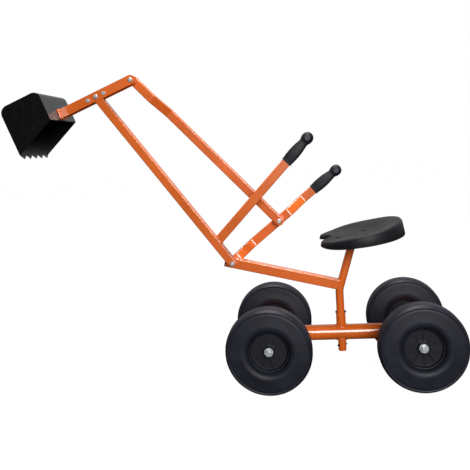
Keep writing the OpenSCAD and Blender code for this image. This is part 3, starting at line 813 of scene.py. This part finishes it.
def show_welds(mesh, name, node):
    """Finishes a mesh of weld beads and shows it on its node's body."""
    bmesh.ops.recalc_face_normals(mesh, faces=mesh.faces)
    smooth(mesh, 80)
    return show(mesh, name, [node], False)


def square_path(half_a, half_b, corner, step):
    """Points round a rounded rectangle, about one step apart, in its own plane."""
    points = []
    for quarter in range(4):
        a = quarter * math.pi / 2
        sa = 1 if quarter in (0, 3) else -1
        sb = 1 if quarter in (0, 1) else -1
        for k in range(4):
            t = a + k * math.pi / 6
            points.append(
                (
                    sa * (half_a - corner) + corner * math.cos(t),
                    sb * (half_b - corner) + corner * math.sin(t),
                )
            )
    spaced = []
    for (a0, b0), (a1, b1) in zip(points, points[1:] + points[:1]):
        length = math.hypot(a1 - a0, b1 - b0)
        parts = max(1, round(length / step))
        spaced += [
            (a0 + (a1 - a0) * k / parts, b0 + (b1 - b0) * k / parts) for k in range(parts)
        ]
    return spaced


def cut_out(piece, cutters):
    """Cuts closed shapes out of a piece, and keeps the result as its mesh."""
    data = bpy.data.meshes.new("cutters")
    cutters.to_mesh(data)
    cutters.free()
    tool = bpy.data.objects.new("cutters", data)
    bpy.context.scene.collection.objects.link(tool)
    cut = piece.modifiers.new("Holes", "BOOLEAN")
    cut.operation = "DIFFERENCE"
    cut.solver = "EXACT"
    cut.object = tool
    graph = bpy.context.evaluated_depsgraph_get()
    made = bpy.data.meshes.new_from_object(piece.evaluated_get(graph))
    piece.modifiers.remove(cut)
    old = piece.data
    name = old.name
    piece.data = made
    bpy.data.meshes.remove(old)
    made.name = name
    bpy.data.objects.remove(tool)
    bpy.data.meshes.remove(data)


# ------------------------------------------------------------------ operators


class DIGGER_OT_chassis(bpy.types.Operator):
    """Chassis beam, cross tubes, swivel sleeve, axles and their fastenings"""

    bl_idname = "digger.chassis"
    bl_label = "Chassis"

    def execute(self, context):
        edge = context.scene.digger_sizes.edge
        for node in (
            "chassis_beam",
            "swivel_sleeve",
            "front_cross_tube",
            "rear_cross_tube",
            "axle_bushings",
            "front_axle_rod",
            "rear_axle_rod",
            "axle_washers",
            "axle_nuts",
        ):
            dressed(node, edge)
        radius = context.scene.digger_sizes.weld
        low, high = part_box("chassis_beam")
        big = (high.z - low.z) / 2
        middle = (high + low) / 2
        low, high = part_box("swivel_sleeve")
        small = (high.x - low.x) / 2
        reach = (high.x + low.x) / 2 + centre("rear_cross_tube").x
        welds = bmesh.new()
        for side in (-1, 1):
            # Sleeve to beam, above and below
            ring = []
            for i in range(36):
                t = math.tau * i / 36
                x, y = (small + 0.8 * MM) * math.cos(t), (small + 0.8 * MM) * math.sin(t)
                z = side * math.sqrt(big**2 - y**2)
                ring.append(middle + Vector((x, y, z)))
            weld_bead(welds, ring, radius * 0.8)
            # Beam to each cross tube, along the saddle where two equal tubes meet
            ring = []
            for i in range(56):
                t = math.tau * i / 56
                y, z = big * math.cos(t), big * math.sin(t)
                x = side * (reach - big * abs(math.cos(t)))
                ring.append(Vector((x, y * 1.02, middle.z + z * 1.02)))
            weld_bead(welds, ring, radius * 0.9)
        show_welds(welds, "weld_beads_chassis", "chassis_beam")
        return {"FINISHED"}


class DIGGER_OT_wheels(bpy.types.Operator):
    """Four wheels, each a blow-moulded tyre on a ribbed hub"""

    bl_idname = "digger.wheels"
    bl_label = "Wheels"

    def execute(self, context):
        sizes = context.scene.digger_sizes
        for corner in CORNERS:
            middle = centre("tyre_" + corner)
            tyre = tyre_skin(sizes.wheel_steps)
            bmesh.ops.translate(tyre, verts=tyre.verts, vec=middle)
            smooth(tyre, 50)
            stand_in(tyre, "tyre_skin_" + corner, ["tyre_" + corner], False)
            hub = hub_skin(sizes.wheel_steps, sizes.hub_ribs)
            turn = Matrix.Rotation(math.radians(HUB_TURN[corner]), 3, "Y")
            bmesh.ops.rotate(hub, verts=hub.verts, cent=(0, 0, 0), matrix=turn)
            bmesh.ops.translate(hub, verts=hub.verts, vec=middle)
            smooth(hub, 40)
            stand_in(hub, "hub_moulding_" + corner, ["hub_" + corner])
        return {"FINISHED"}


class DIGGER_OT_post(bpy.types.Operator):
    """Seat post, arm, seat plate and the swivel's bolts"""

    bl_idname = "digger.post"
    bl_label = "Seat post and arm"

    def execute(self, context):
        edge = context.scene.digger_sizes.edge
        for node in (
            "seat_post",
            "arm_tube",
            "arm_end_plug",
            "swivel_bolts",
            "swivel_nuts",
            "seat_plate",
            "seat_bolts",
            "seat_nuts",
            "main_pivot_bolt",
            "main_pivot_nut",
            "main_pivot_washers",
        ):
            dressed(node, edge)
        return {"FINISHED"}


class DIGGER_OT_seat(bpy.types.Operator):
    """Moulded seat"""

    bl_idname = "digger.seat"
    bl_label = "Seat"

    def execute(self, context):
        mesh = seat_skin(SEAT_STEPS)
        place = at(Vector(SEAT_PLACE) * MM, SEAT_TILT)
        bmesh.ops.transform(mesh, matrix=place, verts=mesh.verts)
        smooth(mesh, 60)
        seat = stand_in(mesh, "seat_moulding", ["seat"], False)
        # Bolt pockets and drain holes, in two rows along the seat
        holes = bmesh.new()
        for y in SEAT_HOLE_Y:
            for x, r, bottom in SEAT_HOLES:
                spot = place @ Matrix.Translation(Vector((x, y, bottom + 20)) * MM)
                bmesh.ops.create_cone(
                    holes,
                    cap_ends=True,
                    segments=28,
                    radius1=r * MM,
                    radius2=(r + 1.2) * MM,
                    depth=40 * MM,
                    matrix=spot,
                )
        cut_out(seat, holes)
        # Pads under the seat, which rest on the plate round each bolt
        pads = bmesh.new()
        for y in SEAT_HOLE_Y:
            for x, top in SEAT_PADS:
                spot = place @ Matrix.Translation(Vector((x, y, 0)) * MM)
                pad = bmesh.ops.create_circle(
                    pads, cap_ends=True, radius=10 * MM, segments=36, matrix=spot
                )["verts"]
                face = pad[0].link_faces[0]
                lid = bmesh.ops.extrude_discrete_faces(pads, faces=[face])["faces"][0]
                lift = place.to_3x3() @ Vector((0, 0, top * MM))
                bmesh.ops.translate(pads, verts=lid.verts, vec=lift)
        bmesh.ops.remove_doubles(pads, verts=pads.verts, dist=0.001 * MM)
        bmesh.ops.recalc_face_normals(pads, faces=pads.faces)
        smooth(pads)
        show(pads, "seat_pads", ["seat"])
        return {"FINISHED"}


class DIGGER_OT_boom(bpy.types.Operator):
    """Boom with its welded left lever and grip"""

    bl_idname = "digger.boom"
    bl_label = "Boom and left lever"

    def execute(self, context):
        edge = context.scene.digger_sizes.edge
        dressed("boom_tube", edge)
        dressed("left_lever", edge)
        lean = math.radians(BOOM_LEAN)
        root = PIVOT["boom_pivot"] + LEFT_LEVER_FOOT * MM * Vector(
            (math.cos(lean), 0, math.sin(lean))
        )
        # Left lever to boom, round the lever's foot on the boom's side
        skew = math.radians(BOOM_LEAN - LEFT_LEVER_LEAN - 90)
        slant = math.cos(skew)
        along = at(root, BOOM_LEAN)
        welds = bmesh.new()
        ring = [
            along @ Vector((a, b, -12.2 * MM))
            for a, b in square_path(12.8 * MM / slant, 12.4 * MM, 3 * MM, 2.6 * MM)
        ]
        shift = along.to_3x3() @ Vector((-math.tan(skew) * 12.2 * MM, 0, 0))
        weld_bead(welds, [p + shift for p in ring], context.scene.digger_sizes.weld * 0.7)
        show_welds(welds, "weld_bead_left_lever", "boom_tube")
        hand = at(root, LEFT_LEVER_LEAN) @ Matrix.Translation((LEVER_REACH * MM, 0, 0))
        show_grip("left", hand)
        return {"FINISHED"}


class DIGGER_OT_stick(bpy.types.Operator):
    """Dipper stick, its bolts, and the bucket"""

    bl_idname = "digger.stick"
    bl_label = "Dipper stick and bucket"

    def execute(self, context):
        edge = context.scene.digger_sizes.edge
        for node in (
            "dipper_stick",
            "stick_pivot_bolt",
            "stick_pivot_nut",
            "stop_bolts",
            "stop_nuts",
            "bucket_wrap",
            "bucket_side_left",
            "bucket_side_right",
            "rod_upper_bolt",
            "rod_upper_nut",
            "rod_upper_washers",
        ):
            dressed(node, edge)
        # Stick to bucket, round the channel's end on the back sheet
        radius = context.scene.digger_sizes.weld
        stick = at(PIVOT["stick_pivot"], STICK_LEAN)
        welds = bmesh.new()
        ring = [
            stick @ Vector((-115.4 * MM, y, z + 1 * MM))
            for y, z in square_path(15.6 * MM, 13.8 * MM, 3 * MM, 3.4 * MM)
        ]
        weld_bead(welds, ring, radius * 1.25)
        show_welds(welds, "weld_bead_stick", "dipper_stick")
        return {"FINISHED"}


def creased(node, place, reach, sizes):
    """A bent square tube, its bends rounded, lying along a frame's X axis."""
    mesh = merged_copy(node)
    bmesh.ops.transform(mesh, matrix=place.inverted(), verts=mesh.verts)
    bends = []
    for edge in sharp_edges(mesh, 1.5, 48):
        a, b = (v.co for v in edge.verts)
        # Mitre edges stand up from the plane of the bends, clear of the tube's ends
        upright = abs(a.z - b.z) > 0.25 * (a - b).length
        if upright and 2 * MM < min(a.x, b.x) and max(a.x, b.x) < reach - 2 * MM:
            bends.append(edge)
    round_edges(mesh, bends, sizes.crease, 6)
    round_edges(mesh, sharp_edges(mesh, 60), sizes.edge)
    bmesh.ops.transform(mesh, matrix=place, verts=mesh.verts)
    smooth(mesh)
    return stand_in(mesh, node + "_finished", [node])


class DIGGER_OT_lever(bpy.types.Operator):
    """Bent right lever with its grip, and the push rod"""

    bl_idname = "digger.lever"
    bl_label = "Right lever and push rod"

    def execute(self, context):
        sizes = context.scene.digger_sizes
        pivot = PIVOT["boom_pivot"]
        creased("right_lever", at(pivot, RIGHT_LEVER_LEAN), RIGHT_LEVER_END * MM, sizes)
        top = centre("rod_upper_bolt")
        low = centre("rod_lower_bolt")
        rod_angle = math.degrees(math.atan2(low.z - top.z, low.x - top.x))
        rod_reach = math.hypot(low.x - top.x, low.z - top.z)
        creased("push_rod", at(top, rod_angle), rod_reach, sizes)
        for node in ("rod_lower_bolt", "rod_lower_nut", "rod_lower_washer"):
            dressed(node, sizes.edge)
        root = Vector((pivot.x, centre("right_grip").y, pivot.z))
        hand = at(root, RIGHT_LEVER_LEAN) @ Matrix.Translation((LEVER_REACH * MM, 0, 0))
        show_grip("right", hand)
        return {"FINISHED"}


# ------------------------------------------------------------------ stage


def soft_box(name, place, aim, size, power):
    """A soft rectangular studio light."""
    light = bpy.data.lights.new(name, "AREA")
    light.shape = "RECTANGLE"
    light.size, light.size_y = size
    light.energy = power
    lamp = bpy.data.objects.new(name, light)
    bpy.context.scene.collection.objects.link(lamp)
    lamp.location = place
    lamp.rotation_mode = "QUATERNION"
    lamp.rotation_quaternion = (Vector(aim) - Vector(place)).to_track_quat("-Z", "Y")
    return lamp


class DIGGER_OT_stage(bpy.types.Operator):
    """Floor, studio lights, surroundings and camera"""

    bl_idname = "digger.stage"
    bl_label = "Studio"

    def execute(self, context):
        scene = context.scene
        mesh = bmesh.new()
        bmesh.ops.create_grid(mesh, x_segments=2, y_segments=2, size=20)
        bmesh.ops.translate(mesh, verts=mesh.verts, vec=(0, 0, FRAME_BOX[0].z - 0.2 * MM))
        data = bpy.data.meshes.new("studio_floor")
        mesh.to_mesh(data)
        mesh.free()
        floor = bpy.data.objects.new("studio_floor", data)
        scene.collection.objects.link(floor)
        paint, tree = blank("matt_floor_paint")
        # Dark paint that lights the digger little from below, under a pale glow that only the
        # camera sees, so that the floor meets the backdrop evenly
        seen = add(tree, "ShaderNodeLightPath").outputs["Is Camera Ray"]
        matt = add(tree, "ShaderNodeBsdfDiffuse", {"Color": srgb(FLOOR_PAINT)})
        glow = add(
            tree,
            "ShaderNodeEmission",
            {"Color": tuple(scene.digger_colours.floor), "Strength": 0.98},
        )
        both = add(tree, "ShaderNodeAddShader")
        tree.links.new(matt.outputs["BSDF"], both.inputs[0])
        tree.links.new(glow.outputs["Emission"], both.inputs[1])
        pick = add(tree, "ShaderNodeMixShader", {"Fac": seen})
        tree.links.new(matt.outputs["BSDF"], pick.inputs[1])
        tree.links.new(both.outputs["Shader"], pick.inputs[2])
        add(tree, "ShaderNodeOutputMaterial", {"Surface": pick.outputs["Shader"]})
        data.materials.append(paint)

        world = bpy.data.worlds.new("studio")
        scene.world = world
        world.use_nodes = True
        sky = world.node_tree
        sky.nodes.clear()
        # A white backdrop beyond the digger, and a dim room on the camera's side
        way = add(sky, "ShaderNodeTexCoord").outputs["Generated"]
        split = add(sky, "ShaderNodeSeparateXYZ", {"Vector": way})
        back = add(
            sky,
            "ShaderNodeMapRange",
            {
                "Value": split.outputs["Y"],
                "From Min": -0.45,
                "From Max": 0.7,
                "To Min": 0.03,
                "To Max": 0.52,
            },
        )
        seen = add(sky, "ShaderNodeLightPath").outputs["Is Camera Ray"]
        strength = add(
            sky,
            "ShaderNodeMapRange",
            {"Value": seen, "To Min": back.outputs["Result"], "To Max": 1.0},
        )
        glow = add(
            sky,
            "ShaderNodeBackground",
            {"Color": srgb("#FFFFFF"), "Strength": strength.outputs["Result"]},
        )
        add(sky, "ShaderNodeOutputWorld", {"Surface": glow.outputs["Background"]})

        soft_box("key_light", (0.5, -3.4, 1.5), (-0.1, 0, 0.3), (1.6, 1.6), 98)
        soft_box("glint_light", (1.05, -2.35, 1.2), (-0.2, 0, 0.42), (0.55, 0.55), 9)
        soft_box("top_light", (-0.05, 0.1, 2.4), (-0.05, 0, 0.3), (1.2, 0.3), 48)

        camera = bpy.data.cameras.new("camera")
        camera.sensor_width = 36.0
        camera.lens = 48.404
        camera.shift_x = -0.0064
        camera.shift_y = -0.1277
        camera.clip_end = 60
        eye = bpy.data.objects.new("camera", camera)
        scene.collection.objects.link(eye)
        yaw, pitch, roll = CAMERA_TURN
        ahead = Vector(
            (
                math.sin(yaw) * math.cos(pitch),
                math.cos(yaw) * math.cos(pitch),
                math.sin(pitch),
            )
        )
        right = ahead.cross(Vector((0, 0, 1))).normalized()
        up = right.cross(ahead)
        turned = math.cos(roll) * right + math.sin(roll) * up
        upright = -math.sin(roll) * right + math.cos(roll) * up
        axes = Matrix((turned, upright, -ahead)).transposed()
        eye.matrix_world = Matrix.Translation(CAMERA_PLACE) @ axes.to_4x4()
        scene.camera = eye
        scene.view_settings.view_transform = "Standard"
        return {"FINISHED"}


class DIGGER_PT_pieces(bpy.types.Panel):
    """Buttons for each group of pieces"""

    bl_label = "Sand digger"
    bl_idname = "DIGGER_PT_pieces"
    bl_space_type = "VIEW_3D"
    bl_region_type = "UI"
    bl_category = "Digger"

    def draw(self, context):
        for group in (context.scene.digger_sizes, context.scene.digger_colours):
            for name in group.bl_rna.properties.keys():
                if name not in ("rna_type", "name"):
                    self.layout.prop(group, name)
        for operator in OPERATORS:
            self.layout.operator(operator.bl_idname)


OPERATORS = (
    DIGGER_OT_chassis,
    DIGGER_OT_wheels,
    DIGGER_OT_post,
    DIGGER_OT_seat,
    DIGGER_OT_boom,
    DIGGER_OT_stick,
    DIGGER_OT_lever,
    DIGGER_OT_stage,
)
CLASSES = (DiggerColours, DiggerSizes, *OPERATORS, DIGGER_PT_pieces)


def register():
    for cls in CLASSES:
        bpy.utils.register_class(cls)
    bpy.types.Scene.digger_colours = PointerProperty(type=DiggerColours)
    bpy.types.Scene.digger_sizes = PointerProperty(type=DiggerSizes)


def unregister():
    del bpy.types.Scene.digger_sizes
    del bpy.types.Scene.digger_colours
    for cls in reversed(CLASSES):
        bpy.utils.unregister_class(cls)


def main():
    register()
    mix_finishes(bpy.context.scene.digger_colours)
    bpy.ops.digger.chassis()
    bpy.ops.digger.wheels()
    bpy.ops.digger.post()
    bpy.ops.digger.seat()
    bpy.ops.digger.boom()
    bpy.ops.digger.stick()
    bpy.ops.digger.lever()
    bpy.ops.digger.stage()


if __name__ == "__main__":
    main()
